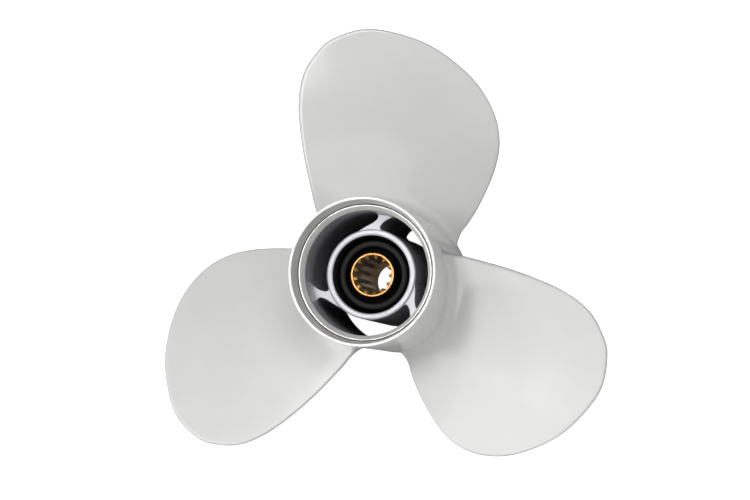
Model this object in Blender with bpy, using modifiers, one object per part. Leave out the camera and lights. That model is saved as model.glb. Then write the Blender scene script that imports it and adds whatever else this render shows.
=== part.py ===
"""Three-bladed outboard propeller with through-hub exhaust.

The frame has +Z along the shaft, pointing aft, and z = 0 on the forward rim
of the outer barrel, where the propeller stands. +X and +Y lie across the shaft,
and the first blade points along +Y. All sizes are in metres.
"""
import math

import bmesh
import bpy
from mathutils import Vector

# Propeller as a whole
TIP_RADIUS = 0.14765
BLADES = 3
PITCH = 0.2630
RAKE = 0.123
LENGTH = 0.113
# Height at which the blades' aft face would cross the shaft, on a blade's own middle line
FACE_HEIGHT = 0.0418
FIRST_BLADE = math.radians(90)

# Meshes that touch in the real propeller are kept this far apart
SEAM = 0.0003
# How far a cutter reaches past the piece that it cuts
REACH = 0.0050

# Outer barrel, a slightly flared tube with a bell mouth at its aft end. The mouth ends at a
# narrow step, from which a cone leads in to the cast core. Depths count from the aft rim.
BARREL_FRONT_RADIUS = 0.0416
BARREL_REAR_RADIUS = 0.0437
CORE_REAR_RADIUS = 0.0365
CORE_FRONT_RADIUS = 0.0372
CONE_RADIUS = 0.0388
CONE_DEPTH = 0.0131
STEP_RADIUS = 0.0395
STEP_DEPTH = 0.0090
MOUTH_RADIUS = 0.0419
LIP_OUTER_ROUND = 0.0009
LIP_INNER_ROUND = 0.0004
FRONT_ROUND = 0.0010

# Inner barrel, which holds the bushing
INNER_RADIUS = 0.0265
INNER_FRONT_RADIUS = 0.0261
BORE_RADIUS = 0.0230
INNER_REAR = LENGTH - 0.0260
INNER_FRONT = 0.0050
CHAMFER = 0.0006

# Ribs between the barrels: (radius, angle) along the two sides of a rib's outline,
# with angles counter-clockwise from the rib's own direction
FIRST_RIB = math.radians(79)
RIB_REAR = INNER_REAR - 0.0012
RIB_FRONT = 0.0070
RIB_LONG_SIDE = ((0.0255, 36), (0.0267, 28), (0.0283, 18), (0.0305, 9.2), (0.0328, 4.9),
                 (0.0350, 4.7), (0.0368, 8.0), (0.0380, 12.5))
RIB_SHORT_SIDE = ((0.0380, -17.0), (0.0366, -12.5), (0.0345, -7.5), (0.0318, -3.0),
                  (0.0292, -0.2), (0.0276, 0.2), (0.0266, -2.5), (0.0255, -7.0))

# Rubber bushing, pressed into the inner barrel, with a raised ring on its aft end and a
# shallow groove in its forward end
RUBBER_REAR = LENGTH - 0.0385
RUBBER_FRONT = 0.0230
RING_RADIUS = 0.0185
RING_HALF = 0.0026
RING_HEIGHT = 0.0060
GROOVE_DEPTH = 0.0020

# Splined sleeve, a brass tube bonded inside the rubber
SLEEVE_RADIUS = 0.0130
SLEEVE_REAR = LENGTH - 0.0300
SLEEVE_FRONT = LENGTH - 0.0955
SLEEVE_EDGE = 0.0004
SLEEVE_MOUTH_RADIUS = 0.0116
SLEEVE_MOUTH_DEPTH = 0.0012
PLAIN_BORE_RADIUS = 0.0103
PLAIN_BORE_DEPTH = 0.0100
TEETH = 13
FIRST_TOOTH = math.radians(-2.5)
TOOTH_ROOT_RADIUS = 0.0113
TOOTH_TIP_RADIUS = 0.0096
TOOTH_ROOT_SHARE = 0.56
TOOTH_TIP_SHARE = 0.38
# Metal left for the broach to cut at the teeth's tips, and how far it runs on past them
BROACH_CUT = 0.0010

# Blade outline: (radius, angle) up the leading edge, round the tip and down the trailing
# edge, with angles counter-clockwise from the blade's own direction, seen from aft
OUTLINE = ((0.0420, -57.6), (0.0520, -52.7), (0.0640, -49.6), (0.0780, -46.1),
           (0.0920, -42.7), (0.1050, -38.6), (0.1170, -32.8), (0.1280, -25.0),
           (0.1370, -16.0), (0.1433, -7.7), (TIP_RADIUS, 2.5), (0.1443, 10.6),
           (0.1383, 15.2), (0.1280, 20.2), (0.1130, 24.4), (0.0960, 28.1), (0.0800, 31.9),
           (0.0640, 36.6), (0.0520, 41.7), (0.0420, 48.0))
EDGE_RADIUS = 0.0010
ROOT_THICKNESS = 0.0105
TIP_THICKNESS = 0.0030
# How fast the blade thins out towards its tip, and towards its edges
TAPER_SPEED = 1.05
TAPER_POWER = 0.75
CROWN_POWER = 0.8
# Greatest swell of a section, as a share of its chord
SWELL_SHARE = 0.08
FILLET_HEIGHT = 0.0085
FILLET_MIDDLE = 0.0080
FILLET_EDGE = 0.0022
# Shares of the fillet's height, from the barrel outwards, where its rows lie
FILLET_ROWS = (0.08, 0.2, 0.38, 0.65)
# Radii of the blade's sections beyond the fillet
SECTIONS = (0.0600, 0.0700, 0.0800, 0.0900, 0.1000, 0.1100, 0.1190, 0.1260, 0.1320,
            0.1370, 0.1410, 0.1440, 0.1460, 0.1471, 0.1475)
CHORD_STEPS = 18
OUTLINE_SAMPLES = 24
ROOT_STRIPS = 5

ROUND_STEPS = 72
SMALL_ROUND_STEPS = 52


def clear_scene():
    for thing in list(bpy.data.objects):
        bpy.data.objects.remove(thing, do_unlink=True)


def new_collection(name):
    group = bpy.data.collections.new(name)
    bpy.context.scene.collection.children.link(group)
    return group


def make_material(name, color, roughness, metallic=0.0):
    finish = bpy.data.materials.new(name)
    finish.use_nodes = True
    shader = finish.node_tree.nodes["Principled BSDF"]
    shader.inputs["Base Color"].default_value = (*color, 1.0)
    shader.inputs["Roughness"].default_value = roughness
    shader.inputs["Metallic"].default_value = metallic
    return finish


def make_object(name, mesh, group, finish=None):
    thing = bpy.data.objects.new(name, mesh)
    group.objects.link(thing)
    if finish:
        mesh.materials.append(finish)
    return thing


def smooth(mesh, sharp_degrees=35):
    mesh.shade_smooth()
    mesh.set_sharp_from_angle(angle=math.radians(sharp_degrees))


def turned(name, profile, steps, group, finish=None):
    """Spin a closed profile of (radius, height) points, listed clockwise, round Z."""
    count = len(profile)
    mesh = bpy.data.meshes.new(name)
    corners = [(radius, 0.0, height) for radius, height in profile]
    mesh.from_pydata(corners, [(i, (i + 1) % count) for i in range(count)], [])
    thing = make_object(name, mesh, group, finish)
    spin = thing.modifiers.new("Spin", "SCREW")
    spin.steps = steps
    spin.render_steps = steps
    spin.use_merge_vertices = True
    spin.merge_threshold = 0.00001
    spin.use_smooth_shade = True
    return thing


def prism(name, outline, low, high, group, finish=None):
    """Extrude a flat outline of (x, y) points into a closed mesh from low to high."""
    curve = bpy.data.curves.new(name, "CURVE")
    curve.dimensions = "2D"
    curve.fill_mode = "BOTH"
    curve.extrude = (high - low) / 2
    spline = curve.splines.new("POLY")
    spline.points.add(len(outline) - 1)
    for point, (x, y) in zip(spline.points, outline):
        point.co = (x, y, 0.0, 1.0)
    spline.use_cyclic_u = True
    drawn = bpy.data.objects.new(name + "_curve", curve)
    drawn.location.z = (low + high) / 2
    group.objects.link(drawn)
    bpy.context.view_layer.update()
    evaluated = drawn.evaluated_get(bpy.context.evaluated_depsgraph_get())
    mesh = bpy.data.meshes.new_from_object(evaluated)
    mesh.transform(drawn.matrix_world)
    bpy.data.objects.remove(drawn, do_unlink=True)
    shape = bmesh.new()
    shape.from_mesh(mesh)
    bmesh.ops.remove_doubles(shape, verts=shape.verts, dist=0.000005)
    bmesh.ops.recalc_face_normals(shape, faces=shape.faces)
    shape.to_mesh(mesh)
    shape.free()
    return make_object(name, mesh, group, finish)


def make_cutter(thing):
    thing.hide_render = True
    thing.display_type = "WIRE"
    return thing


def cut(thing, cutter, operation="DIFFERENCE"):
    change = thing.modifiers.new("Cut", "BOOLEAN")
    change.operation = operation
    change.object = cutter
    change.solver = "EXACT"


def polar(radius, angle):
    return radius * math.cos(angle), radius * math.sin(angle)


def spline_through(points, samples):
    """Points on a smooth curve that passes through all the given ones."""
    path = [Vector(p) for p in points]
    path = [2 * path[0] - path[1]] + path + [2 * path[-1] - path[-2]]
    found = []
    for i in range(1, len(path) - 2):
        a, b, c, d = path[i - 1:i + 3]
        for k in range(samples):
            t = k / samples
            found.append(0.5 * (2 * b + (c - a) * t + (2 * a - 5 * b + 4 * c - d) * t * t
                                + (3 * b - a - 3 * c + d) * t * t * t))
    found.append(path[-2])
    return found


def barrel_radius(height):
    """Outside radius of the outer barrel."""
    return BARREL_FRONT_RADIUS + (BARREL_REAR_RADIUS - BARREL_FRONT_RADIUS) * height / LENGTH


def core_radius(height):
    """Radius of the cast core, the outer wall of the exhaust passages."""
    taper = (CORE_REAR_RADIUS - CORE_FRONT_RADIUS) / (LENGTH - CONE_DEPTH)
    return CORE_FRONT_RADIUS + taper * height


def quarter_round(radius, height, size, start):
    """Three points on a corner of a profile, turning clockwise from the start angle."""
    return [(radius + size * math.cos(math.radians(start - turn)),
             height + size * math.sin(math.radians(start - turn))) for turn in (0, 45, 90)]


def build_outer_barrel(group, paint):
    lip = quarter_round(BARREL_REAR_RADIUS - LIP_OUTER_ROUND, LENGTH - LIP_OUTER_ROUND,
                        LIP_OUTER_ROUND, 90)
    front = quarter_round(BARREL_FRONT_RADIUS - FRONT_ROUND, FRONT_ROUND, FRONT_ROUND, 0)
    inside = [
        (CORE_FRONT_RADIUS + FRONT_ROUND, 0.0),
        (CORE_FRONT_RADIUS, FRONT_ROUND),
        (CORE_REAR_RADIUS, LENGTH - CONE_DEPTH),
        (CONE_RADIUS, LENGTH - STEP_DEPTH),
        (STEP_RADIUS, LENGTH - STEP_DEPTH),
    ]
    mouth = quarter_round(MOUTH_RADIUS + LIP_INNER_ROUND, LENGTH - LIP_INNER_ROUND,
                          LIP_INNER_ROUND, 180)
    return turned("outer_barrel", lip + front + inside + mouth, ROUND_STEPS, group, paint)


def build_inner_barrel(group, metal):
    profile = [
        (BORE_RADIUS + CHAMFER, INNER_REAR),
        (INNER_RADIUS - CHAMFER, INNER_REAR),
        (INNER_RADIUS, INNER_REAR - CHAMFER),
        (INNER_FRONT_RADIUS, INNER_FRONT + CHAMFER),
        (INNER_FRONT_RADIUS - CHAMFER, INNER_FRONT),
        (BORE_RADIUS + CHAMFER, INNER_FRONT),
        (BORE_RADIUS, INNER_FRONT + CHAMFER),
        (BORE_RADIUS, INNER_REAR - CHAMFER),
    ]
    return turned("inner_barrel", profile, SMALL_ROUND_STEPS, group, metal)


def build_ribs(group, cutters, metal):
    """Three slanted webs that carry the inner barrel inside the outer one."""
    rear, front = RIB_REAR + REACH, RIB_FRONT - REACH
    keep = [(0.0, rear), (core_radius(rear) - SEAM, rear),
            (core_radius(front) - SEAM, front), (0.0, front)]
    inside = make_cutter(turned("barrel_core", keep, ROUND_STEPS, cutters))
    drop = [(0.0, rear), (INNER_RADIUS + SEAM, rear),
            (INNER_FRONT_RADIUS + SEAM, front), (0.0, front)]
    hub = make_cutter(turned("inner_barrel_space", drop, SMALL_ROUND_STEPS, cutters))
    for number in range(BLADES):
        middle = FIRST_RIB + number * math.tau / BLADES
        outline = []
        for side in (RIB_LONG_SIDE, RIB_SHORT_SIDE):
            corners = [polar(radius, middle + math.radians(angle)) for radius, angle in side]
            outline += [tuple(p) for p in spline_through(corners, 3)]
        rib = prism(f"rib_{number + 1}", outline, RIB_FRONT, RIB_REAR, group, metal)
        cut(rib, inside, "INTERSECT")
        cut(rib, hub)
        smooth(rib.data)


def blade_outline():
    """Dense (radius, angle) points on the blade's edge, from leading to trailing root."""
    corners = []
    for radius, degrees in OUTLINE:
        across, up = polar(radius, math.radians(90 + degrees))
        corners.append((across, up))
    curve = spline_through(corners, OUTLINE_SAMPLES)
    return [(point.length, math.atan2(-point.x, point.y)) for point in curve]


def edge_angles(edge, radius):
    """Angles of the leading and the trailing edge at a radius."""
    tip = max(range(len(edge)), key=lambda i: edge[i][0])
    found = []
    for side in (edge[:tip + 1], edge[:tip - 1:-1]):
        for (low, before), (high, after) in zip(side, side[1:]):
            if low <= radius <= high:
                found.append(before + (after - before) * (radius - low) / (high - low))
                break
    return found


def chord_places(chord):
    """Distances from the leading edge, close together where the edges are rounded."""
    near = [0.0, 0.25 * EDGE_RADIUS, EDGE_RADIUS]
    inner = chord - 2 * EDGE_RADIUS
    middle = [EDGE_RADIUS + inner * k / CHORD_STEPS for k in range(1, CHORD_STEPS)]
    return near + middle + [chord - d for d in reversed(near)]


def section_loop(radius, chord):
    """Closed outline of a blade section as (along, through): the aft face, then back."""
    share = (radius - BARREL_FRONT_RADIUS) / (TIP_RADIUS - BARREL_FRONT_RADIUS)
    taper = min(share * TAPER_SPEED, 1) ** TAPER_POWER
    thick = ROOT_THICKNESS + (TIP_THICKNESS - ROOT_THICKNESS) * taper
    thick = min(thick, 2 * EDGE_RADIUS + SWELL_SHARE * chord)
    face, back = [], []
    for along in chord_places(chord):
        inset = EDGE_RADIUS - min(along, chord - along, EDGE_RADIUS)
        rounding = EDGE_RADIUS - math.sqrt(EDGE_RADIUS ** 2 - inset ** 2)
        swell = (4 * along * (chord - along) / chord ** 2) ** CROWN_POWER
        body = 2 * EDGE_RADIUS + (thick - 2 * EDGE_RADIUS) * swell
        face.append((along, rounding))
        back.append((along, body - rounding))
    return face + back[-2:0:-1]


def widen(loop, amount):
    """Push a loop outwards by an amount that depends on the place along the chord."""
    chord = max(along for along, _ in loop)
    wide = []
    for i, (along, through) in enumerate(loop):
        before = loop[i - 1]
        after = loop[(i + 1) % len(loop)]
        out = Vector((after[1] - before[1], before[0] - after[0])).normalized()
        place = min(max(4 * along * (chord - along) / chord ** 2, 0), 1)
        size = amount * (FILLET_EDGE + (FILLET_MIDDLE - FILLET_EDGE) * place ** 0.5)
        wide.append((along + out.x * size, through + out.y * size))
    return wide


def blade_point(height_over_barrel, radius, along, through, lead):
    """Place a section's point in the blade's frame, on a cylinder or over the barrel."""
    rise = PITCH / math.tau
    if height_over_barrel is not None:
        radius = BARREL_REAR_RADIUS
    for _ in range(6):
        run = math.hypot(radius, rise)
        face_angle = lead + along / run
        angle = face_angle + through * rise / run / radius
        z = FACE_HEIGHT + RAKE * radius + rise * face_angle - through * radius / run
        if height_over_barrel is None:
            break
        radius = barrel_radius(z) + height_over_barrel
    return radius, angle, z


def blade_rows():
    """Every row of points of a blade, from the barrel out to the tip."""
    rise = PITCH / math.tau
    edge = blade_outline()
    rows = []
    heights = [SEAM] + [share * FILLET_HEIGHT for share in FILLET_ROWS] + [FILLET_HEIGHT]
    for height in heights:
        radius = BARREL_REAR_RADIUS + height
        lead, trail = edge_angles(edge, radius)
        loop = section_loop(radius, (trail - lead) * math.hypot(radius, rise))
        left = 1 - height / FILLET_HEIGHT
        loop = widen(loop, 1 - math.sqrt(max(1 - left ** 2, 0)))
        rows.append([blade_point(height, radius, *place, lead) for place in loop])
    for radius in SECTIONS:
        lead, trail = edge_angles(edge, radius)
        loop = section_loop(radius, (trail - lead) * math.hypot(radius, rise))
        rows.append([blade_point(None, radius, *place, lead) for place in loop])
    return rows


def build_blades(group, paint):
    """Three helical blades, each lofted through its sections, on a filleted root."""
    rows = blade_rows()
    count = len(rows[0])
    half = count // 2
    for number in range(BLADES):
        middle = FIRST_BLADE + number * math.tau / BLADES
        shape = bmesh.new()

        def place(radius, angle, z):
            return shape.verts.new((*polar(radius, middle + angle), z))

        rings = [[place(*point) for point in row] for row in rows]
        for low, high in zip(rings, rings[1:]):
            for i in range(count):
                j = (i + 1) % count
                shape.faces.new((low[i], low[j], high[j], high[i]))
        # The tip and the root are each closed by strips from the aft face to the back
        top = rings[-1]
        shape.faces.new((top[0], top[1], top[count - 1]))
        for i in range(1, half - 1):
            shape.faces.new((top[i], top[i + 1], top[count - i - 1], top[count - i]))
        shape.faces.new((top[half - 1], top[half], top[half + 1]))
        close_root(shape, rings[0], rows[0], place)
        bmesh.ops.recalc_face_normals(shape, faces=shape.faces)
        mesh = bpy.data.meshes.new(f"blade_{number + 1}")
        shape.to_mesh(mesh)
        shape.free()
        smooth(mesh)
        make_object(mesh.name, mesh, group, paint)


def close_root(shape, ring, row, place):
    """Close a blade's root with strips that follow the barrel at the seam's distance."""
    count = len(ring)
    half = count // 2
    lines = [[ring[0]] * (ROOT_STRIPS + 1)]
    for i in range(1, half):
        _, face_angle, face_z = row[i]
        _, back_angle, back_z = row[count - i]
        line = [ring[i]]
        for k in range(1, ROOT_STRIPS):
            share = k / ROOT_STRIPS
            z = face_z + (back_z - face_z) * share
            angle = face_angle + (back_angle - face_angle) * share
            line.append(place(barrel_radius(z) + SEAM, angle, z))
        lines.append(line + [ring[count - i]])
    lines.append([ring[half]] * (ROOT_STRIPS + 1))
    for near, far in zip(lines, lines[1:]):
        for k in range(ROOT_STRIPS):
            corners = []
            for corner in (near[k], near[k + 1], far[k + 1], far[k]):
                if corner not in corners:
                    corners.append(corner)
            shape.faces.new(corners)


def build_bushing(group, rubber):
    inner = SLEEVE_RADIUS + SEAM
    outer = BORE_RADIUS - SEAM
    rear, front = RUBBER_REAR, RUBBER_FRONT
    ring_rear = [(RING_RADIUS + RING_HALF * math.sin(math.radians(turn)),
                  rear + RING_HEIGHT * math.cos(math.radians(turn))) for turn in
                 (-90, -55, -20, 20, 55, 90)]
    profile = ([(inner, rear)] + ring_rear + [(outer, rear), (outer, front),
               (RING_RADIUS + RING_HALF, front + GROOVE_DEPTH),
               (RING_RADIUS - RING_HALF, front + GROOVE_DEPTH), (inner, front)])
    return turned("rubber_bushing", profile, SMALL_ROUND_STEPS, group, rubber)


def build_sleeve(group, cutters, brass):
    """The sleeve. Its splines are cut by a broach, a star that is widest in the spaces."""
    start = TOOTH_TIP_RADIUS - BROACH_CUT
    teeth_front = SLEEVE_FRONT + PLAIN_BORE_DEPTH
    profile = [
        (SLEEVE_MOUTH_RADIUS, SLEEVE_REAR),
        (SLEEVE_RADIUS - SLEEVE_EDGE, SLEEVE_REAR),
        (SLEEVE_RADIUS, SLEEVE_REAR - SLEEVE_EDGE),
        (SLEEVE_RADIUS, SLEEVE_FRONT),
        (PLAIN_BORE_RADIUS, SLEEVE_FRONT),
        (PLAIN_BORE_RADIUS, teeth_front),
        (start, teeth_front + PLAIN_BORE_RADIUS - start),
        (start, SLEEVE_REAR - SLEEVE_MOUTH_DEPTH),
        (SLEEVE_MOUTH_RADIUS, SLEEVE_REAR - SLEEVE_MOUTH_DEPTH),
    ]
    sleeve = turned("splined_sleeve", profile, SMALL_ROUND_STEPS, group, brass)
    turn = math.tau / TEETH
    star = []
    for number in range(TEETH):
        space = FIRST_TOOTH + (number + 0.5) * turn
        for radius, share in ((TOOTH_ROOT_RADIUS, -TOOTH_ROOT_SHARE / 2),
                              (TOOTH_ROOT_RADIUS, 0), (TOOTH_ROOT_RADIUS, TOOTH_ROOT_SHARE / 2),
                              (TOOTH_TIP_RADIUS, (1 - TOOTH_TIP_SHARE) / 2),
                              (TOOTH_TIP_RADIUS, (1 + TOOTH_TIP_SHARE) / 2)):
            star.append(polar(radius, space + share * turn))
    broach = make_cutter(prism("broach", star, teeth_front - BROACH_CUT, SLEEVE_REAR + REACH,
                               cutters))
    cut(sleeve, broach)


def build():
    clear_scene()
    parts = new_collection("propeller")
    cutters = new_collection("cutters")
    white_paint = make_material("white_paint", (0.74, 0.74, 0.72), 0.32)
    machined = make_material("machined_aluminium", (0.80, 0.80, 0.83), 0.38, 0.6)
    rubber = make_material("black_rubber", (0.015, 0.015, 0.016), 0.6)
    brass = make_material("brass", (0.78, 0.52, 0.22), 0.3, 1.0)
    build_outer_barrel(parts, white_paint)
    build_blades(parts, white_paint)
    build_inner_barrel(parts, machined)
    build_ribs(parts, cutters, machined)
    build_bushing(parts, rubber)
    build_sleeve(parts, cutters, brass)


build()
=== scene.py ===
"""Looks of a white three-bladed outboard propeller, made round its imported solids.

Metres, with +Z along the shaft and pointing aft. The hub stands on the floor at z = 0.
"""
import math
from bisect import bisect_left

import bmesh
import bpy
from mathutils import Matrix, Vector


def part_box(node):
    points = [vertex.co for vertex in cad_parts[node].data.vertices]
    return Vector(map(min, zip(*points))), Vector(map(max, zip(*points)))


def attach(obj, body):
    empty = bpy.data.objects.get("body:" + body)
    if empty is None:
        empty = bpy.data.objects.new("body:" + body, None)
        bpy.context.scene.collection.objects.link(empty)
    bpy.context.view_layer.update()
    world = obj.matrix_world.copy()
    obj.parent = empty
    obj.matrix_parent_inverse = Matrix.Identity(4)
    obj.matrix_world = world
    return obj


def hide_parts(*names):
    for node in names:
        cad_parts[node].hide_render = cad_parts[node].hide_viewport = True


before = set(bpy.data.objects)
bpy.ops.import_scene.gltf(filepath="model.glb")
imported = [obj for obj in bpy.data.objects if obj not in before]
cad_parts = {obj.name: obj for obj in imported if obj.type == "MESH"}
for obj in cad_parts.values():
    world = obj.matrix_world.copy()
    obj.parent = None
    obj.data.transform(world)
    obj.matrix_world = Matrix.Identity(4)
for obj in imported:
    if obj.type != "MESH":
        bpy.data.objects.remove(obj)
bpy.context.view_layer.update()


# Outer barrel. The hub is the body of one aluminium casting: a slightly flared exhaust tube,
# sprayed white outside and in its bell mouth. At the foot of the mouth a narrow bare step is
# turned on a lathe, a sprayed cone leads in from it, and the cast core ahead is left dark.
# The mouth's wall and cone are coloured a darker grey as painted shade, and the groove at the
# step's edge is coloured near black as painted shade.
HUB_FRONT_RADIUS = 0.0416
HUB_REAR_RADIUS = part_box("outer_barrel")[1].x
HUB_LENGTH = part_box("outer_barrel")[1].z
HUB_SIDES = 240
LIP_OUTER_ROUND = 0.0006
LIP_INNER_ROUND = 0.0005
FRONT_RIM_ROUND = 0.0010
MOUTH_RADIUS = 0.0419
STEP_DEPTH = 0.0090
GROOVE_WIDTH = 0.0005
GROOVE_CUT = 0.0009
STEP_RADIUS = 0.0395
CONE_RADIUS = 0.0388
CONE_DEPTH = 0.0131
CORE_REAR_RADIUS = 0.0365
CORE_FRONT_RADIUS = 0.0372
EDGE_BREAK = 0.00025
# Share of the groove's width by which its inner wall leans out towards the foot
GROOVE_LEAN = 0.3
# Shares of the hub's length at which extra rings keep the long walls' faces short
OUTER_RINGS = (0.66, 0.33)
CORE_RINGS = (0.3, 0.6)
# Points closer than this are welded, and rings closer than this to a place lie on it
WELD_GAP = 0.000003
SAME_PLACE = 0.00003


def barrel_radius(height):
    return HUB_FRONT_RADIUS + (HUB_REAR_RADIUS - HUB_FRONT_RADIUS) * height / HUB_LENGTH


def core_radius(height):
    taper = (CORE_REAR_RADIUS - CORE_FRONT_RADIUS) / (HUB_LENGTH - CONE_DEPTH)
    return CORE_FRONT_RADIUS + taper * height


def draw_up(name, sides, rings):
    """Extrude a circle ring by ring along a closed profile of (radius, height).

    A radius may also be a function of the angle round the shaft.
    """
    bpy.ops.object.select_all(action="DESELECT")
    bpy.ops.mesh.primitive_circle_add(vertices=sides, radius=0.01)
    piece = bpy.context.active_object
    piece.name = piece.data.name = name
    bpy.ops.object.mode_set(mode="EDIT")
    for number, (radius, height) in enumerate(rings + rings[:1]):
        if number:
            bpy.ops.mesh.extrude_edges_move()
        shape = bmesh.from_edit_mesh(piece.data)
        for corner in shape.verts:
            if corner.select:
                angle = math.atan2(corner.co.y, corner.co.x)
                out = radius(angle) if callable(radius) else radius
                corner.co = (out * math.cos(angle), out * math.sin(angle), height)
        bmesh.update_edit_mesh(piece.data)
    close_up()
    return piece


def close_up():
    """Weld the mesh in edit mode, turn its faces outwards and leave edit mode."""
    bpy.ops.mesh.select_all(action="SELECT")
    bpy.ops.mesh.remove_doubles(threshold=WELD_GAP)
    bpy.ops.mesh.normals_make_consistent(inside=False)
    bpy.ops.object.mode_set(mode="OBJECT")


def round_loops(piece, loops, width, segments=3):
    """Bevel the rings of a turned piece that lie at the given (radius, height) places."""
    bpy.ops.object.mode_set(mode="EDIT")
    bpy.ops.mesh.select_all(action="DESELECT")
    bpy.ops.mesh.select_mode(type="EDGE")
    shape = bmesh.from_edit_mesh(piece.data)
    for edge in shape.edges:
        for radius, height in loops:
            if all(abs(corner.co.z - height) < SAME_PLACE
                   and abs(corner.co.xy.length - radius) < SAME_PLACE for corner in edge.verts):
                edge.select = True
    bmesh.update_edit_mesh(piece.data)
    bpy.ops.mesh.bevel(offset=width, segments=segments, affect="EDGES")
    bpy.ops.mesh.select_all(action="SELECT")
    bpy.ops.mesh.normals_make_consistent(inside=False)
    bpy.ops.mesh.select_mode(type="VERT")
    bpy.ops.object.mode_set(mode="OBJECT")


def smooth(piece, sharp_degrees=34):
    bpy.ops.object.select_all(action="DESELECT")
    piece.select_set(True)
    bpy.context.view_layer.objects.active = piece
    bpy.ops.object.shade_smooth_by_angle(angle=math.radians(sharp_degrees))


def new_group(name, *scales):
    """A shader node group that turns a place into colour, gloss and relief.

    scales names its extra inputs. Returned with its input and output nodes.
    """
    group = bpy.data.node_groups.new(name, "ShaderNodeTree")
    floats = [*scales, "Roughness Low", "Roughness High"]
    for label, kind in [("Vector", "NodeSocketVector"), ("Light", "NodeSocketColor"),
                        ("Dark", "NodeSocketColor"), *[(n, "NodeSocketFloat") for n in floats]]:
        group.interface.new_socket(label, in_out="INPUT", socket_type=kind)
    for label, kind in (("Color", "NodeSocketColor"), ("Roughness", "NodeSocketFloat"),
                        ("Height", "NodeSocketFloat")):
        group.interface.new_socket(label, in_out="OUTPUT", socket_type=kind)
    return group, group.nodes.new("NodeGroupInput"), group.nodes.new("NodeGroupOutput")


def close_group(group, inside, outside, tone, gloss, height):
    """Link a group's outputs: its colours mixed by tone, its roughness by gloss."""
    given = inside.outputs
    spread = maths(group, "SUBTRACT", given["Roughness High"], given["Roughness Low"])
    rough = maths(group, "MULTIPLY_ADD", spread, gloss, given["Roughness Low"])
    color = mix_colors(group, tone, given["Dark"], given["Light"])
    for label, socket in (("Color", color), ("Roughness", rough), ("Height", height)):
        group.links.new(socket, outside.inputs[label])
    return group


def maths(tree, operation, *operands):
    """A Math node. Each operand is a socket or a number."""
    node = tree.nodes.new("ShaderNodeMath")
    node.operation = operation
    for socket, value in zip(node.inputs, operands):
        if isinstance(value, (int, float)):
            socket.default_value = value
        else:
            tree.links.new(value, socket)
    return node.outputs[0]


def remap(tree, value, low, high):
    """A smooth rise from 0 where the value is low to 1 where it is high."""
    node = tree.nodes.new("ShaderNodeMapRange")
    node.interpolation_type = "SMOOTHSTEP"
    tree.links.new(value, node.inputs["Value"])
    node.inputs["From Min"].default_value = low
    node.inputs["From Max"].default_value = high
    return node.outputs["Result"]


def mix_colors(tree, share, first, second):
    """Mix two colours by a share. Each is a socket or a colour."""
    node = tree.nodes.new("ShaderNodeMix")
    node.data_type = "RGBA"
    tree.links.new(share, node.inputs["Factor"])
    for label, value in (("A", first), ("B", second)):
        socket = [s for s in node.inputs if s.name == label and s.type == "RGBA"][0]
        if isinstance(value, tuple):
            socket.default_value = (*value, 1.0)
        else:
            tree.links.new(value, socket)
    return [s for s in node.outputs if s.type == "RGBA"][0]


def noise_of(tree, vector, detail, scale):
    """A 3-D noise over a place. Its scale is a socket or a number."""
    node = tree.nodes.new("ShaderNodeTexNoise")
    node.inputs["Detail"].default_value = detail
    tree.links.new(vector, node.inputs["Vector"])
    if isinstance(scale, (int, float)):
        node.inputs["Scale"].default_value = scale
    else:
        tree.links.new(scale, node.inputs["Scale"])
    return node.outputs["Fac"]


def make_grain_group():
    """Uneven tone and a fine pebbled relief, as sprayed paint and cast metal have."""
    group, inside, outside = new_group("grain", "Fine Scale", "Coarse Scale")
    where = inside.outputs["Vector"]
    fine = noise_of(group, where, 2.0, inside.outputs["Fine Scale"])
    coarse = noise_of(group, where, 3.0, inside.outputs["Coarse Scale"])
    return close_group(group, inside, outside, remap(group, coarse, 0.3, 0.7), fine, fine)


def make_turned_group():
    """Fine concentric tool marks round the shaft, as a lathe leaves on a face."""
    group, inside, outside = new_group("turned", "Pitch")
    split = group.nodes.new("ShaderNodeSeparateXYZ")
    group.links.new(inside.outputs["Vector"], split.inputs[0])
    x, y, z = split.outputs
    square = maths(group, "ADD", maths(group, "MULTIPLY", x, x), maths(group, "MULTIPLY", y, y))
    out = maths(group, "ADD", maths(group, "SQRT", square), z)
    marks = group.nodes.new("ShaderNodeTexNoise")
    marks.noise_dimensions = "1D"
    marks.inputs["Scale"].default_value = 1.0
    marks.inputs["Detail"].default_value = 2.0
    group.links.new(maths(group, "MULTIPLY", out, inside.outputs["Pitch"]), marks.inputs["W"])
    patches = noise_of(group, inside.outputs["Vector"], 3.0, 160.0)
    share = maths(group, "MULTIPLY", maths(group, "ADD", marks.outputs["Fac"], patches), 0.5)
    return close_group(group, inside, outside, remap(group, share, 0.35, 0.65), patches,
                       marks.outputs["Fac"])


GRAIN = make_grain_group()
TURNED = make_turned_group()


def new_finish(name, group, light, dark, rough, depth, metallic, specular, **scales):
    """A material with colour, gloss and relief from a group, at Object coordinates."""
    finish = bpy.data.materials.new(name)
    finish.use_nodes = True
    tree = finish.node_tree
    looks = tree.nodes.new("ShaderNodeGroup")
    looks.node_tree = group
    tree.links.new(tree.nodes.new("ShaderNodeTexCoord").outputs["Object"],
                   looks.inputs["Vector"])
    looks.inputs["Light"].default_value = (*light, 1.0)
    looks.inputs["Dark"].default_value = (*dark, 1.0)
    looks.inputs["Roughness Low"].default_value = rough[0]
    looks.inputs["Roughness High"].default_value = rough[1]
    for label, value in scales.items():
        looks.inputs[label.replace("_", " ").title()].default_value = value
    bump = tree.nodes.new("ShaderNodeBump")
    bump.inputs["Distance"].default_value = depth
    tree.links.new(looks.outputs["Height"], bump.inputs["Height"])
    shader = tree.nodes["Principled BSDF"]
    shader.inputs["Metallic"].default_value = metallic
    shader.inputs["Specular IOR Level"].default_value = specular
    tree.links.new(looks.outputs["Color"], shader.inputs["Base Color"])
    tree.links.new(looks.outputs["Roughness"], shader.inputs["Roughness"])
    tree.links.new(bump.outputs["Normal"], shader.inputs["Normal"])
    return finish


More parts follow.
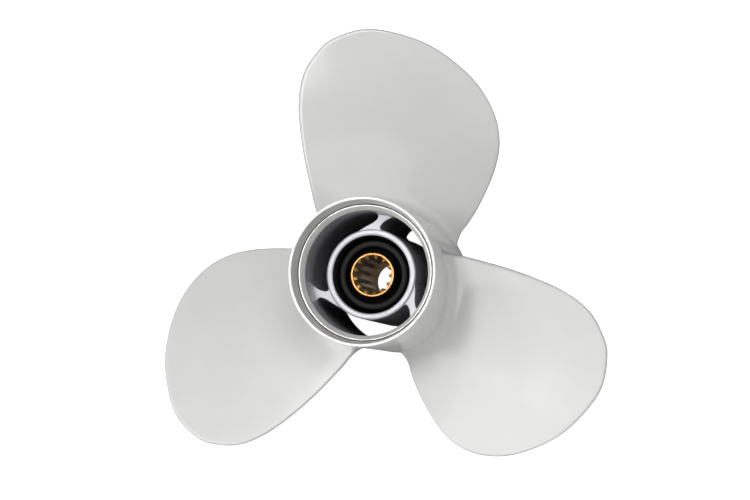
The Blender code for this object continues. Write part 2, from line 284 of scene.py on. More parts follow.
def grained(name, light, dark, rough, fine, coarse, depth, metallic=0.0, specular=0.5):
    """A sprayed, cast or moulded finish, with fine pebbles and coarse patches to the metre."""
    return new_finish(name, GRAIN, light, dark, rough, depth, metallic, specular,
                      fine_scale=fine, coarse_scale=coarse)


def lathed(name, light, dark, rough, pitch, depth, metallic):
    """A turned finish, with so many tool marks to the metre."""
    return new_finish(name, TURNED, light, dark, rough, depth, metallic, 0.5, pitch=pitch)


WHITE_PAINT = grained("white_paint", (0.725, 0.722, 0.712), (0.70, 0.70, 0.695), (0.09, 0.13),
                      fine=900.0, coarse=28.0, depth=0.00005)
# A darker grey for the mouth's recessed wall and cone: painted shade.
MOUTH_SHADE_PAINT = grained("mouth_painted_shade", (0.62, 0.615, 0.585), (0.55, 0.55, 0.53), (0.35, 0.5),
                     fine=900.0, coarse=60.0, depth=0.00005)
DARK_CAST = grained("dark_cast", (0.36, 0.36, 0.38), (0.27, 0.27, 0.29), (0.4, 0.6),
                    fine=1100.0, coarse=90.0, depth=0.00010)
# Near black in the narrow groove at the foot of the mouth wall: painted shade.
GROOVE_SHADE = grained("groove_painted_shade", (0.06, 0.06, 0.055), (0.02, 0.02, 0.02), (0.6, 0.8),
                      fine=1100.0, coarse=300.0, depth=0.00004)
BRIGHT_STEP = lathed("bright_step", (0.86, 0.86, 0.85), (0.78, 0.78, 0.77), (0.25, 0.36),
                     pitch=5000.0, depth=0.00001, metallic=0.8)


def paint_faces(piece, finishes, choose):
    """Give the piece its finishes, and each face the one that choose picks for it."""
    for finish in finishes:
        piece.data.materials.append(finish)
    for face in piece.data.polygons:
        face.material_index = finishes.index(choose(face))


rear = HUB_LENGTH
step_height = rear - STEP_DEPTH
groove_foot = step_height - GROOVE_CUT
cone_foot = rear - CONE_DEPTH
barrel = draw_up("painted_hub", HUB_SIDES, [
    (MOUTH_RADIUS, rear),
    (HUB_REAR_RADIUS, rear),
    *[(barrel_radius(rear * share), rear * share) for share in OUTER_RINGS],
    (HUB_FRONT_RADIUS, 0.0),
    (CORE_FRONT_RADIUS, 0.0),
    *[(core_radius(rear * share), rear * share) for share in CORE_RINGS],
    (CORE_REAR_RADIUS, cone_foot),
    (CONE_RADIUS, step_height),
    (STEP_RADIUS, step_height),
    (STEP_RADIUS + GROOVE_WIDTH * GROOVE_LEAN, groove_foot),
    (STEP_RADIUS + GROOVE_WIDTH, groove_foot),
    (STEP_RADIUS + GROOVE_WIDTH, step_height),
])
round_loops(barrel, [(HUB_REAR_RADIUS, rear)], LIP_OUTER_ROUND, segments=7)
round_loops(barrel, [(MOUTH_RADIUS, rear)], LIP_INNER_ROUND, segments=5)
round_loops(barrel, [(HUB_FRONT_RADIUS, 0.0), (CORE_FRONT_RADIUS, 0.0)], FRONT_RIM_ROUND,
            segments=5)
round_loops(barrel, [(CONE_RADIUS, step_height), (STEP_RADIUS, step_height),
                     (CORE_REAR_RADIUS, cone_foot)], EDGE_BREAK, segments=2)


def hub_finish(face):
    out, height = face.center.xy.length, face.center.z
    if out > MOUTH_RADIUS or height < FRONT_RIM_ROUND:
        return WHITE_PAINT
    if height > step_height + EDGE_BREAK:
        return MOUTH_SHADE_PAINT
    if height > groove_foot - EDGE_BREAK and out > STEP_RADIUS - EDGE_BREAK:
        return GROOVE_SHADE if height < step_height - EDGE_BREAK else BRIGHT_STEP
    if height > step_height - EDGE_BREAK:
        return BRIGHT_STEP
    return MOUTH_SHADE_PAINT if height > cone_foot - EDGE_BREAK else DARK_CAST


paint_faces(barrel, (WHITE_PAINT, MOUTH_SHADE_PAINT, DARK_CAST, BRIGHT_STEP, GROOVE_SHADE), hub_finish)
smooth(barrel)
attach(barrel, "root")
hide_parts("outer_barrel")


# Blades. Three right-hand helical blades are cast in one with the hub, ground along their
# edges and sprayed with it. Their aft faces are true helices and their backs are crowned.
BLADES = 3
TIP_RADIUS = 0.14765
PITCH = 0.2630
RISE = PITCH / math.tau
RAKE = 0.123
FACE_HEIGHT = 0.0418
# Up the leading edge, round the tip and down the trailing edge: (radius, degrees from the
# blade's own direction, counter-clockwise seen from aft)
OUTLINE = ((0.0420, -57.6), (0.0520, -52.7), (0.0640, -49.6), (0.0780, -46.1),
           (0.0920, -42.7), (0.1050, -38.6), (0.1170, -32.8), (0.1280, -25.0),
           (0.1370, -16.0), (0.1433, -7.7), (TIP_RADIUS, 2.5), (0.1443, 10.6),
           (0.1383, 15.2), (0.1280, 20.2), (0.1130, 24.4), (0.0960, 28.1), (0.0800, 31.9),
           (0.0640, 36.6), (0.0520, 41.7), (0.0420, 48.0))
OUTLINE_SAMPLES = 24
EDGE_HALF = 0.0010
FACE_ROUNDING = 0.0020
BACK_ROUNDING = 0.0013
ROOT_THICKNESS = 0.0105
TIP_THICKNESS = 0.0030
# The thickness falls off from root to tip by this power, and is least a little before the tip
THINNING_POWER = 0.75
THINNING_REACH = 1.05
TIP_DOME = 0.015
# How squarely the crown between the edges and the dome at the tip run into each other
CROWN_POWER = 4
SWELL_POWER = 0.2
FILLET_HEIGHT = 0.0085
FILLET_MIDDLE = 0.0080
FILLET_EDGE = 0.0022
SUNK = 0.0004
SETTLING_ROUNDS = 4
LEAST_CHORD = 0.001
LEAST_SWELL = 0.00001
FILLET_SHARES = (0.0, 0.006, 0.02, 0.045, 0.08, 0.13, 0.2, 0.29, 0.4, 0.53, 0.68, 0.84, 1.0)
# Distances in from the edge at which a section's points lie, before it runs on to the spine
NEAR_EDGE = (0.0, 0.0001, 0.00025, 0.00045, 0.0007, 0.001, 0.00135, 0.00175, 0.0022, 0.003)
TO_SPINE = 20
# A grey band along the blades' edges is painted shade, for edge sides turned away from the
# lamps.
EDGE_SHADE_WIDTH = 0.0012
EDGE_SHADE_TONE = (0.40, 0.40, 0.405)
PLAIN_RADIUS = 0.0750
PLAIN_ROWS = 10
TIP_ROWS = 64
SPINE_END = 0.1190


def spline_through(points, samples):
    """Points on a smooth curve that passes through all the given ones."""
    path = [Vector(p) for p in points]
    path = [2 * path[0] - path[1]] + path + [2 * path[-1] - path[-2]]
    found = []
    for i in range(1, len(path) - 2):
        a, b, c, d = path[i - 1:i + 3]
        for k in range(samples):
            t = k / samples
            found.append(0.5 * (2 * b + (c - a) * t + (2 * a - 5 * b + 4 * c - d) * t * t
                                + (3 * b - a - 3 * c + d) * t * t * t))
    found.append(path[-2])
    return found


def polar(radius, angle):
    return radius * math.cos(angle), radius * math.sin(angle)


corners = [polar(radius, math.radians(90 + degrees)) for radius, degrees in OUTLINE]
edge_line = [(p.length, math.atan2(-p.x, p.y)) for p in spline_through(corners, OUTLINE_SAMPLES)]
tip_place = max(range(len(edge_line)), key=lambda i: edge_line[i][0])
lead_radii = [radius for radius, _ in edge_line[:tip_place + 1]]
trail_radii = [radius for radius, _ in edge_line[:tip_place - 1:-1]]


def place_at(radii, radius):
    """Fractional place of a radius in a rising list of radii."""
    high = min(max(bisect_left(radii, radius), 1), len(radii) - 1)
    low = radii[high - 1]
    return high - 1 + min(max((radius - low) / (radii[high] - low), 0.0), 1.0)


def edge_point(place):
    """(radius, angle) at a fractional place on the edge line."""
    low = min(max(int(place), 0), len(edge_line) - 2)
    share = place - low
    (r0, a0), (r1, a1) = edge_line[low], edge_line[low + 1]
    return r0 + (r1 - r0) * share, a0 + (a1 - a0) * share


def lead_place(radius):
    return place_at(lead_radii, radius)


def trail_place(radius):
    return len(edge_line) - 1 - place_at(trail_radii, radius)


def on_blade(radius, angle, through=0.0):
    """A point on the aft face of the blade along +Y, or ahead of the face by through."""
    run = math.hypot(radius, RISE)
    turn = math.pi / 2 + angle + through * RISE / (run * radius)
    height = FACE_HEIGHT + RAKE * radius + RISE * angle - through * radius / run
    return Vector((*polar(radius, turn), height))


def inward_speed(place, spine):
    """How fast the way to the spine leaves the edge, for each unit of its length."""
    radius, angle = edge_point(place)
    along = on_blade(*edge_point(place + 0.5)) - on_blade(*edge_point(place - 0.5))
    step = 0.0001
    nearer = on_blade(radius + (spine[0] - radius) * step, angle + (spine[1] - angle) * step)
    toward = (nearer - on_blade(radius, angle)) / step
    return (toward - toward.project(along)).length


def thickness(radius, angle, inward):
    """Thickness of the blade, crowned between its edges and falling off to the tip."""
    share = (radius - HUB_FRONT_RADIUS) / (TIP_RADIUS - HUB_FRONT_RADIUS)
    thinned = min(share * THINNING_REACH, 1) ** THINNING_POWER
    full = ROOT_THICKNESS + (TIP_THICKNESS - ROOT_THICKNESS) * thinned
    lead = edge_point(lead_place(radius))[1]
    trail = edge_point(trail_place(radius))[1]
    across = min(max((angle - lead) / max(trail - lead, LEAST_CHORD), 0.0), 1.0)
    crown = max(4 * across * (1 - across), LEAST_SWELL)
    reach = min(inward / TIP_DOME, 1.0)
    dome = max(reach * (2 - reach), LEAST_SWELL)
    swell = (crown ** -CROWN_POWER + dome ** -CROWN_POWER) ** -SWELL_POWER
    return 2 * EDGE_HALF + (full - 2 * EDGE_HALF) * swell


def edge_rounding(inward, width):
    left = max(1 - inward / width, 0.0)
    return EDGE_HALF * (1 - math.sqrt(1 - left * left))


def section(lead, trail, spine):
    """Closed loop of (radius, angle, through): the aft face from lead to trail, then back."""
    half_loops = []
    for place in (lead, trail):
        radius, angle = edge_point(place)
        speed = inward_speed(place, spine)
        start = NEAR_EDGE[-1] / speed
        ways = [near / speed for near in NEAR_EDGE]
        ways += [start + (1 - start) * k / TO_SPINE for k in range(1, TO_SPINE + 1)]
        half_loops.append([(radius + (spine[0] - radius) * way,
                            angle + (spine[1] - angle) * way, way * speed) for way in ways])
    line = half_loops[0] + half_loops[1][-2::-1]
    face = [(radius, angle, edge_rounding(inward, FACE_ROUNDING))
            for radius, angle, inward in line]
    back = [(radius, angle, thickness(radius, angle, inward)
             - edge_rounding(inward, BACK_ROUNDING)) for radius, angle, inward in line[1:-1]]
    return face + back[::-1]


def widen(loop, lead, run, amount):
    """Push a loop of the root outwards by the fillet, which is widest at mid-chord."""
    flat = [Vector(((angle - lead) * run, through)) for _, angle, through in loop]
    chord = max(p.x for p in flat)
    wide = []
    for i, (here, (radius, _, _)) in enumerate(zip(flat, loop)):
        along = flat[(i + 1) % len(flat)] - flat[i - 1]
        out = Vector((along.y, -along.x)).normalized()
        place = min(max(4 * here.x * (chord - here.x) / chord ** 2, 0.0), 1.0)
        size = amount * (FILLET_EDGE + (FILLET_MIDDLE - FILLET_EDGE) * math.sqrt(place))
        moved = here + out * size
        wide.append((radius, lead + moved.x / run, moved.y))
    return wide


def onto_barrel(loop, height):
    """Points of a loop, each set at one height over the flared barrel."""
    points = []
    for radius, angle, through in loop:
        for _ in range(SETTLING_ROUNDS):
            point = on_blade(radius, angle, through)
            radius = barrel_radius(point.z) + height
        points.append(on_blade(radius, angle, through))
    return points


def middle_line(loop):
    """A loop pinched onto its section's middle line, which closes the sunk root."""
    half = len(loop) // 2
    pinched = list(loop)
    for i in range(1, half):
        radius, angle, through = loop[i]
        pinched[i] = pinched[-i] = (radius, angle, (through + loop[-i][2]) / 2)
    return pinched


def blade_rows():
    """Rows of points from the sunk root to the tip."""
    rows = []
    for share in FILLET_SHARES:
        height = FILLET_HEIGHT * share
        radius = HUB_REAR_RADIUS + height
        lead, trail = lead_place(radius), trail_place(radius)
        first, last = edge_point(lead)[1], edge_point(trail)[1]
        loop = section(lead, trail, (radius, (first + last) / 2))
        amount = 1 - math.sqrt(1 - (1 - share) ** 2)
        wide = widen(loop, first, math.hypot(radius, RISE), amount)
        if share == 0:
            rows.append(onto_barrel(middle_line(loop), -2 * SUNK))
            rows.append(onto_barrel(wide, -SUNK))
        rows.append(onto_barrel(wide, height))
    start = HUB_REAR_RADIUS + FILLET_HEIGHT
    for k in range(1, PLAIN_ROWS + 1):
        radius = start + (PLAIN_RADIUS - start) * k / PLAIN_ROWS
        lead, trail = lead_place(radius), trail_place(radius)
        middle = (edge_point(lead)[1] + edge_point(trail)[1]) / 2
        rows.append([on_blade(*point) for point in section(lead, trail, (radius, middle))])
    lead, trail = lead_place(PLAIN_RADIUS), trail_place(PLAIN_RADIUS)
    for k in range(1, TIP_ROWS + 1):
        share = k / TIP_ROWS
        radius = PLAIN_RADIUS + (SPINE_END - PLAIN_RADIUS) * share
        middle = (edge_point(lead_place(radius))[1] + edge_point(trail_place(radius))[1]) / 2
        loop = section(lead + (tip_place - lead) * share, trail + (tip_place - trail) * share,
                       (radius, middle))
        rows.append([on_blade(*point) for point in loop])
    return rows


def rolled_sheet(name, rows, edge_shading=None):
    """A grid rolled up into a tube: each row of its points is placed and its seam welded.

    edge_shading says how much painted shade darkens each place along a row.
    """
    around = len(rows[0])
    bpy.ops.object.select_all(action="DESELECT")
    bpy.ops.mesh.primitive_grid_add(x_subdivisions=around, y_subdivisions=len(rows) - 1, size=1)
    sheet = bpy.context.active_object
    sheet.name = sheet.data.name = name
    for number, corner in enumerate(sheet.data.vertices):
        row, place = divmod(number, around + 1)
        corner.co = rows[row][place % around]
    if edge_shading:
        edge_shade = sheet.data.attributes.new("edge_shade", "FLOAT", "POINT")
        for number, value in enumerate(edge_shade.data):
            value.value = edge_shading[number % (around + 1) % around]
    bpy.ops.object.mode_set(mode="EDIT")
    close_up()
    return sheet


def edge_shade_share():
    """How much painted shade darkens a section's loop: most at the edges, none on the faces."""
    half = [max(1 - near / EDGE_SHADE_WIDTH, 0.0) for near in NEAR_EDGE] + [0.0] * TO_SPINE
    face = half + half[-2::-1]
    return face + face[-2:0:-1]


def make_blade_paint():
    """The white paint, with a grey band of painted shade along the edges."""
    finish = WHITE_PAINT.copy()
    finish.name = "blade_paint"
    tree = finish.node_tree
    shader = tree.nodes["Principled BSDF"]
    edge_shade = tree.nodes.new("ShaderNodeAttribute")
    edge_shade.attribute_name = "edge_shade"
    white = shader.inputs["Base Color"].links[0].from_socket
    tree.links.new(mix_colors(tree, edge_shade.outputs["Fac"], white, EDGE_SHADE_TONE),
                   shader.inputs["Base Color"])
    return finish


first_blade = rolled_sheet("blade_one", blade_rows(), edge_shade_share())
first_blade.data.materials.append(make_blade_paint())
smooth(first_blade, sharp_degrees=40)
blades = [first_blade]
for number, word in ((1, "two"), (2, "three")):
    bpy.ops.object.select_all(action="DESELECT")
    first_blade.select_set(True)
    bpy.context.view_layer.objects.active = first_blade
    bpy.ops.object.duplicate(linked=False)
    copy = bpy.context.active_object
    copy.name = copy.data.name = "blade_" + word
    copy.rotation_euler.z = number * math.tau / BLADES
    bpy.ops.object.transform_apply(location=False, rotation=True, scale=False)
    blades.append(copy)
for number, blade in enumerate(blades):
    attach(blade, "root")
    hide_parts(f"blade_{number + 1}")


# Inner barrel. A plain tube in the middle of the casting holds the bushing. Its aft face is
# turned bright, its outside is left dark, as cast, and its bore is coloured near black as
# painted shade in the gap round the rubber.
INNER_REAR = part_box("inner_barrel")[1].z
INNER_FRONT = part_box("inner_barrel")[0].z
INNER_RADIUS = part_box("inner_barrel")[1].x
INNER_FRONT_RADIUS = 0.0261
BORE_RADIUS = 0.0230
INNER_CHAMFER = 0.0006
INNER_SIDES = 180
BARE_METAL = lathed("machined_aluminium", (0.62, 0.62, 0.65), (0.50, 0.50, 0.53), (0.36, 0.52),
                    pitch=4000.0, depth=0.00002, metallic=0.35)
# Near black. On the inner barrel's bore it is painted shade in the gap round the rubber; the
# sleeve's outside is coloured with it as well.
BLACK_BORE = grained("black_bore", (0.020, 0.020, 0.020), (0.008, 0.008, 0.008), (0.6, 0.8),
                     fine=1100.0, coarse=120.0, depth=0.00004)

tube = draw_up("bushing_tube", INNER_SIDES, [
    (BORE_RADIUS + INNER_CHAMFER, INNER_REAR),
    (INNER_RADIUS - INNER_CHAMFER, INNER_REAR),
    (INNER_RADIUS, INNER_REAR - INNER_CHAMFER),
    (INNER_FRONT_RADIUS, INNER_FRONT + INNER_CHAMFER),
    (INNER_FRONT_RADIUS - INNER_CHAMFER, INNER_FRONT),
    (BORE_RADIUS + INNER_CHAMFER, INNER_FRONT),
    (BORE_RADIUS, INNER_FRONT + INNER_CHAMFER),
    (BORE_RADIUS, INNER_REAR - INNER_CHAMFER),
])
round_loops(tube, [(BORE_RADIUS + INNER_CHAMFER, INNER_REAR),
                   (INNER_RADIUS - INNER_CHAMFER, INNER_REAR)], EDGE_BREAK, segments=2)


def tube_finish(face):
    if face.center.z > INNER_REAR - INNER_CHAMFER:
        return BARE_METAL
    return BLACK_BORE if face.center.xy.length < BORE_RADIUS + INNER_CHAMFER else DARK_CAST


paint_faces(tube, (BARE_METAL, DARK_CAST, BLACK_BORE), tube_finish)
smooth(tube)
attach(tube, "root")
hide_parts("inner_barrel")


# Ribs. Three slanted webs, cast between the two barrels, leave the exhaust passages open.
# Their aft ends are faced on the lathe together with the inner barrel, up to a little short
# of the wall: there the rough cast end is left, and it climbs the wall to the bare band.
FIRST_RIB = math.radians(79)
RIB_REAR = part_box("rib_1")[1].z
RIB_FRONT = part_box("rib_1")[0].z
RIB_START = 0.0256
RIB_END = 0.0376
RIB_STATIONS = 48
RIB_EDGE = 0.0004
RIB_EDGE_TURNS = (0, 22.5, 45, 67.5, 90)
# Share of a rounded edge's height under which a face belongs to the rib's dark side
RIB_SIDE_SHARE = 0.7
RIB_SAMPLES = 12
RIB_ACROSS = 6
RIB_HEIGHTS = (0.0, 0.3, 0.6, 0.85)
FACED_RADIUS = 0.0353
CLIMB_RADIUS = 0.0366
CLIMB_HEIGHT = 0.0125
CLIMB_POWER = 1.7
# (radius, degrees) along the two sides of a rib, from its own direction
RIB_LONG_SIDE = ((0.0255, 36), (0.0267, 28), (0.0283, 18), (0.0305, 9.2), (0.0328, 4.9),
                 (0.0350, 4.7), (0.0368, 8.0), (0.0380, 12.5))
RIB_SHORT_SIDE = ((0.0255, -7.0), (0.0266, -2.5), (0.0276, 0.2), (0.0292, -0.2),
                  (0.0318, -3.0), (0.0345, -7.5), (0.0366, -12.5), (0.0380, -17.0))


def side_line(side):
    """A rib's side as a list of (radius, angle), outwards."""
    points = [polar(radius, math.radians(degrees)) for radius, degrees in side]
    return [(p.length, math.atan2(p.y, p.x)) for p in spline_through(points, RIB_SAMPLES)]


def angle_on(line, radius):
    place = place_at([r for r, _ in line], radius)
    low = min(int(place), len(line) - 2)
    return line[low][1] + (line[low + 1][1] - line[low][1]) * (place - low)


def rib_top(radius):
    climb = min(max((radius - FACED_RADIUS) / (CLIMB_RADIUS - FACED_RADIUS), 0.0), 1.0)
    return RIB_REAR + CLIMB_HEIGHT * climb ** CLIMB_POWER


def rib_section(radius, middle, long_line, short_line):
    """Loop round the rib on one cylinder, and the angle of its middle.

    It goes up the long side, over the top and down again.
    """
    top = rib_top(radius)
    halves = []
    for line, inward in ((long_line, -1), (short_line, 1)):
        side = angle_on(line, radius)
        half = [(side, RIB_FRONT + (top - RIB_EDGE - RIB_FRONT) * share)
                for share in RIB_HEIGHTS]
        for turn in RIB_EDGE_TURNS:
            round_in = RIB_EDGE * (1 - math.cos(math.radians(turn)))
            round_up = RIB_EDGE * (1 - math.sin(math.radians(turn)))
            half.append((side + inward * round_in / radius, top - round_up))
        halves.append(half)
    first, last = halves[0][-1][0], halves[1][-1][0]
    across = [(first + (last - first) * k / RIB_ACROSS, top) for k in range(1, RIB_ACROSS)]
    under = [(last + (first - last) * k / RIB_ACROSS, RIB_FRONT) for k in range(1, RIB_ACROSS)]
    loop = [Vector((*polar(radius, middle + angle), height))
            for angle, height in halves[0] + across + halves[1][::-1] + under]
    return loop, middle + (first + last) / 2


def make_rib(name, middle):
    long_line, short_line = side_line(RIB_LONG_SIDE), side_line(RIB_SHORT_SIDE)
    rows = []
    for k in range(RIB_STATIONS + 1):
        radius = RIB_START + (RIB_END - RIB_START) * k / RIB_STATIONS
        row, centre = rib_section(radius, middle, long_line, short_line)
        pinched = [Vector((*polar(radius, centre), point.z)) for point in row]
        if k == 0:
            rows.append(pinched)
        rows.append(row)
        if k == RIB_STATIONS:
            rows.append(pinched)
    return rolled_sheet(name, rows)


CAST_END = grained("cast_end", (0.74, 0.74, 0.75), (0.42, 0.42, 0.44), (0.4, 0.6),
                   fine=1300.0, coarse=420.0, depth=0.00015, metallic=0.3)
FACED_RIB = lathed("faced_rib", (0.63, 0.63, 0.66), (0.50, 0.50, 0.53), (0.4, 0.55),
                   pitch=4000.0, depth=0.00003, metallic=0.35)


def rib_finish(face):
    if face.center.z < RIB_REAR - RIB_EDGE * RIB_SIDE_SHARE:
        return DARK_CAST
    return FACED_RIB if face.center.xy.length < FACED_RADIUS else CAST_END


for number, word in enumerate(("one", "two", "three")):
    rib = make_rib("web_" + word, FIRST_RIB + number * math.tau / BLADES)
    paint_faces(rib, (FACED_RIB, DARK_CAST, CAST_END), rib_finish)
    smooth(rib, sharp_degrees=38)
    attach(rib, "root")
    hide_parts(f"rib_{number + 1}")


# Rubber bushing. A block of black rubber, pressed into the inner barrel, slips if the
# propeller strikes something. It is moulded with a raised ring, whose top is tinted grey as a
# painted highlight.
RUBBER_REAR = 0.0745
RUBBER_FRONT = 0.0230
RUBBER_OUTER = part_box("rubber_bushing")[1].x
RING_RADIUS = 0.0185
RING_HALF = 0.0026
RING_HEIGHT = 0.0060
RING_STEPS = 18
RUBBER_SIDES = 144
SLEEVE_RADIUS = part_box("splined_sleeve")[1].x
RUBBER_FILLET = 0.0009
FRONT_GROOVE = 0.0020
# Grey tint on the ring's top: a painted highlight.
RING_HIGHLIGHT_GREY = (0.038, 0.036, 0.036)
# Share of the ring's height above which the painted highlight's grey tint rises
HIGHLIGHT_FROM = 0.65

ring = [(RING_RADIUS + RING_HALF * math.sin(math.radians(turn)),
         RUBBER_REAR + RING_HEIGHT * math.cos(math.radians(turn)))
        for turn in [-90 + 180 * k / RING_STEPS for k in range(RING_STEPS + 1)]]
bushing = draw_up("rubber_block", RUBBER_SIDES, [
    (SLEEVE_RADIUS, RUBBER_REAR), *ring, (RUBBER_OUTER, RUBBER_REAR),
    (RUBBER_OUTER, RUBBER_FRONT), (RING_RADIUS + RING_HALF, RUBBER_FRONT + FRONT_GROOVE),
    (RING_RADIUS - RING_HALF, RUBBER_FRONT + FRONT_GROOVE), (SLEEVE_RADIUS, RUBBER_FRONT)])
round_loops(bushing, [ring[0], ring[-1]], RUBBER_FILLET, segments=4)


def tint_by_height(material, start, end, tone):
    """Blend a finish's base colour over to a tone between two heights."""
    tree = material.node_tree
    shader = tree.nodes["Principled BSDF"]
    split = tree.nodes.new("ShaderNodeSeparateXYZ")
    tree.links.new(tree.nodes.new("ShaderNodeTexCoord").outputs["Object"], split.inputs[0])
    share = remap(tree, split.outputs["Z"], start, end)
    plain = shader.inputs["Base Color"].links[0].from_socket
    tree.links.new(mix_colors(tree, share, plain, tone), shader.inputs["Base Color"])


BLACK_RUBBER = grained("black_rubber", (0.005, 0.005, 0.005), (0.002, 0.002, 0.002),
                       (0.75, 0.9), fine=1400.0, coarse=120.0, depth=0.00004, specular=0.05)
tint_by_height(BLACK_RUBBER, RUBBER_REAR + RING_HEIGHT * HIGHLIGHT_FROM,
               RUBBER_REAR + RING_HEIGHT, RING_HIGHLIGHT_GREY)
bushing.data.materials.append(BLACK_RUBBER)
smooth(bushing)
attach(bushing, "root")
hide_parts("rubber_bushing")


# Splined sleeve. A brass tube is bonded inside the rubber, and thirteen teeth are broached
# through it to fit the shaft. Its aft rim is turned bright, the splines are dark near it and
# paler further in as painted light coming up the bore, and its outside is coloured near black.
SLEEVE_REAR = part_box("splined_sleeve")[1].z
SLEEVE_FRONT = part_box("splined_sleeve")[0].z
RIM_INNER = 0.0116
RIM_DEPTH = 0.0012
RIM_SLOPE = 0.0001
SLEEVE_ROUND = 0.0003
# How far in from the sleeve's outside its rounded front edge is still black
BLACK_DEPTH = 0.0001
TEETH = 13
TOOTH_ROOT = 0.0113
TOOTH_TIP = 0.0096
ROOT_SHARE = 0.56
TIP_SHARE = 0.38
PLAIN_BORE = 0.0103
PLAIN_DEPTH = 0.0100
TOOTH_POINTS = 16
FIRST_TOOTH = math.radians(-2.5)
TOOTH_CHAMFER = 0.0006
CHAMFER_START = 0.35
RUN_OUT = 0.0030
PALE_BRASS = (1.0, 0.94, 0.87)
LIT_BRASS = (1.0, 0.82, 0.58)
# Shares of the splines' length at which painted light starts to pale the spaces, and then the
# teeth
PALE_FROM = 0.2
LIT_FROM = 0.5


def tooth_radius(angle):
    """Radius of the broached bore, least at the middle of a tooth's tip."""
    share = abs(((angle - FIRST_TOOTH) * TEETH / math.tau) % 1 - 0.5)
    fall = (share - ROOT_SHARE / 2) / ((1 - TIP_SHARE) / 2 - ROOT_SHARE / 2)
    return TOOTH_ROOT + (TOOTH_TIP - TOOTH_ROOT) * min(max(fall, 0.0), 1.0)


def tooth_start(angle):
    """Where the chamfer on a tooth's end begins, a third of the way in from the recess."""
    return RIM_INNER + (tooth_radius(angle) - RIM_INNER) * CHAMFER_START


teeth_rear = SLEEVE_REAR - RIM_DEPTH
teeth_front = SLEEVE_FRONT + PLAIN_DEPTH
sleeve = draw_up("brass_sleeve", TEETH * TOOTH_POINTS, [
    (RIM_INNER, SLEEVE_REAR),
    (SLEEVE_RADIUS, SLEEVE_REAR),
    (SLEEVE_RADIUS, SLEEVE_FRONT),
    (PLAIN_BORE, SLEEVE_FRONT),
    (PLAIN_BORE, teeth_front),
    (tooth_radius, teeth_front + RUN_OUT),
    (tooth_radius, teeth_rear - TOOTH_CHAMFER),
    (tooth_start, teeth_rear),
    (RIM_INNER, teeth_rear + RIM_SLOPE),
])
round_loops(sleeve, [(RIM_INNER, SLEEVE_REAR), (SLEEVE_RADIUS, SLEEVE_REAR),
                     (SLEEVE_RADIUS, SLEEVE_FRONT)], SLEEVE_ROUND)
BRIGHT_BRASS = lathed("brass", (0.41, 0.21, 0.07), (0.30, 0.15, 0.042), (0.24, 0.4),
                      pitch=5000.0, depth=0.00002, metallic=1.0)
WORN_BRASS = grained("worn_brass", (0.38, 0.22, 0.07), (0.20, 0.10, 0.025), (0.3, 0.45),
                     fine=1500.0, coarse=700.0, depth=0.00003, metallic=0.9)
TOOTH_BRASS = grained("tooth_brass", (0.25, 0.175, 0.105), (0.17, 0.115, 0.065), (0.4, 0.55),
                      fine=1500.0, coarse=260.0, depth=0.00004)
SPACE_BRASS = grained("space_brass", (0.30, 0.23, 0.17), (0.20, 0.15, 0.11), (0.4, 0.55),
                      fine=1500.0, coarse=260.0, depth=0.00004)
pale_height, lit_height = [teeth_rear + (teeth_front - teeth_rear) * share
                             for share in (PALE_FROM, LIT_FROM)]
# Both tints are painted light: the splines grow paler towards the deep end, standing in for
# light from the table coming up the bore.
tint_by_height(TOOTH_BRASS, lit_height, teeth_front, LIT_BRASS)
tint_by_height(SPACE_BRASS, pale_height, lit_height, PALE_BRASS)


def sleeve_finish(face):
    out, height = face.center.xy.length, face.center.z
    if out > SLEEVE_RADIUS - BLACK_DEPTH and height < SLEEVE_REAR - SLEEVE_ROUND:
        return BLACK_BORE
    if not SLEEVE_FRONT + SLEEVE_ROUND < height < teeth_rear + RIM_SLOPE:
        return BRIGHT_BRASS
    if height > teeth_rear - TOOTH_CHAMFER:
        return WORN_BRASS
    return SPACE_BRASS if out > (TOOTH_ROOT + TOOTH_TIP) / 2 else TOOTH_BRASS


paint_faces(sleeve, (BRIGHT_BRASS, WORN_BRASS, TOOTH_BRASS, SPACE_BRASS, BLACK_BORE),
            sleeve_finish)
smooth(sleeve, sharp_degrees=30)
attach(sleeve, "root")
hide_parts("splined_sleeve")


# Stage. A pale table that looks plain white to the camera but throws back only half of the
# light, soft boxes round it, and a camera far above with a long lens.
FLOOR_SHARE = 0.5
BACKDROP_STRENGTH = 0.02


def white_to_camera(tree, socket, plain):
    """Feed a strength socket: 1 where the camera looks straight at it, or else plain."""
    path = tree.nodes.new("ShaderNodeLightPath")
    seen = tree.nodes.new("ShaderNodeMapRange")
    seen.inputs["To Min"].default_value = plain
    tree.links.new(path.outputs["Is Camera Ray"], seen.inputs["Value"])
    tree.links.new(seen.outputs["Result"], socket)


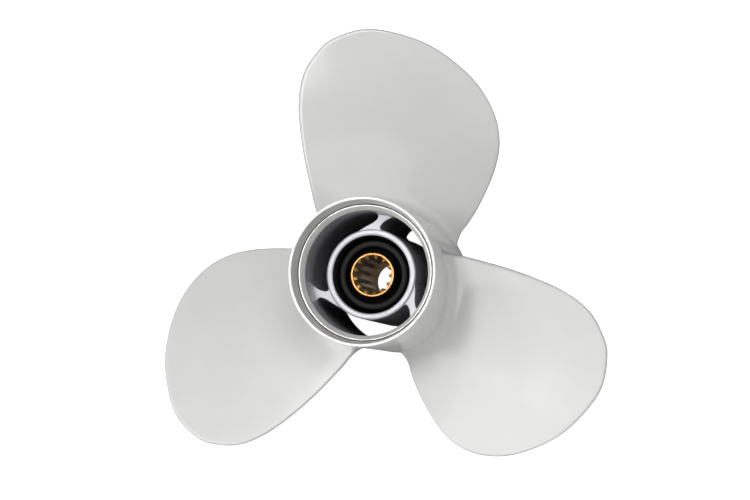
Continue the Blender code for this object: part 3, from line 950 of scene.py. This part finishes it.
bpy.ops.object.select_all(action="DESELECT")
bpy.ops.mesh.primitive_grid_add(x_subdivisions=4, y_subdivisions=4, size=12.0)
floor = bpy.context.active_object
floor.name = "floor"
pale = bpy.data.materials.new("pale_floor")
pale.use_nodes = True
pale_shader = pale.node_tree.nodes["Principled BSDF"]
pale_shader.inputs["Base Color"].default_value = (FLOOR_SHARE, FLOOR_SHARE, FLOOR_SHARE, 1.0)
pale_shader.inputs["Roughness"].default_value = 0.9
pale_shader.inputs["Emission Color"].default_value = (1.0, 1.0, 1.0, 1.0)
white_to_camera(pale.node_tree, pale_shader.inputs["Emission Strength"], 0.0)
floor.data.materials.append(pale)


def soft_box(name, place, size, power, aim=(0.0, 0.0, 0.05)):
    """An area lamp of a size and power, facing the hub unless another point is given."""
    light = bpy.data.lights.new(name, "AREA")
    light.shape = "RECTANGLE"
    light.size, light.size_y = size
    light.energy = power
    lamp = bpy.data.objects.new(name, light)
    bpy.context.scene.collection.objects.link(lamp)
    lamp.location = place
    lamp.rotation_euler = (Vector(aim) - Vector(place)).to_track_quat("-Z", "Y").to_euler()


soft_box("overhead_box", (0.64, 0.76, 2.4), (0.94, 0.96), 20.0, aim=(0.64, 0.76, 0.0))
soft_box("mirror_box", (-0.37, 0.13, 1.8), (0.36, 0.36), 10.0)
soft_box("near_box", (-0.2, -1.7, 0.8), (1.2, 1.2), 10.0)
soft_box("near_left_box", (-1.0, -1.0, 0.9), (0.9, 0.9), 2.6)
soft_box("left_box", (-1.6, 0.1, 0.9), (2.0, 2.0), 18.5)
soft_box("high_left_box", (-1.1, 0.1, 1.7), (0.9, 0.9), 2.0)
soft_box("right_box", (1.5, 0.2, 0.8), (1.5, 1.5), 8.0)

studio = bpy.data.worlds.new("studio")
studio.use_nodes = True
backdrop = studio.node_tree.nodes["Background"]
backdrop.inputs["Color"].default_value = (1.0, 1.0, 1.0, 1.0)
white_to_camera(studio.node_tree, backdrop.inputs["Strength"], BACKDROP_STRENGTH)
bpy.context.scene.world = studio
bpy.context.scene.view_settings.view_transform = "Standard"

camera = bpy.data.objects.new("camera", bpy.data.cameras.new("camera"))
bpy.context.scene.collection.objects.link(camera)
camera.data.sensor_width = 36.0
camera.data.lens = 213.65
camera.location = (0.5372, -0.1700, 2.6218)
camera.rotation_euler = (math.radians(4.0885), math.radians(11.9062), math.radians(0.102))
camera.data.clip_start = 0.05
camera.data.clip_end = 30.0
bpy.context.scene.camera = camera
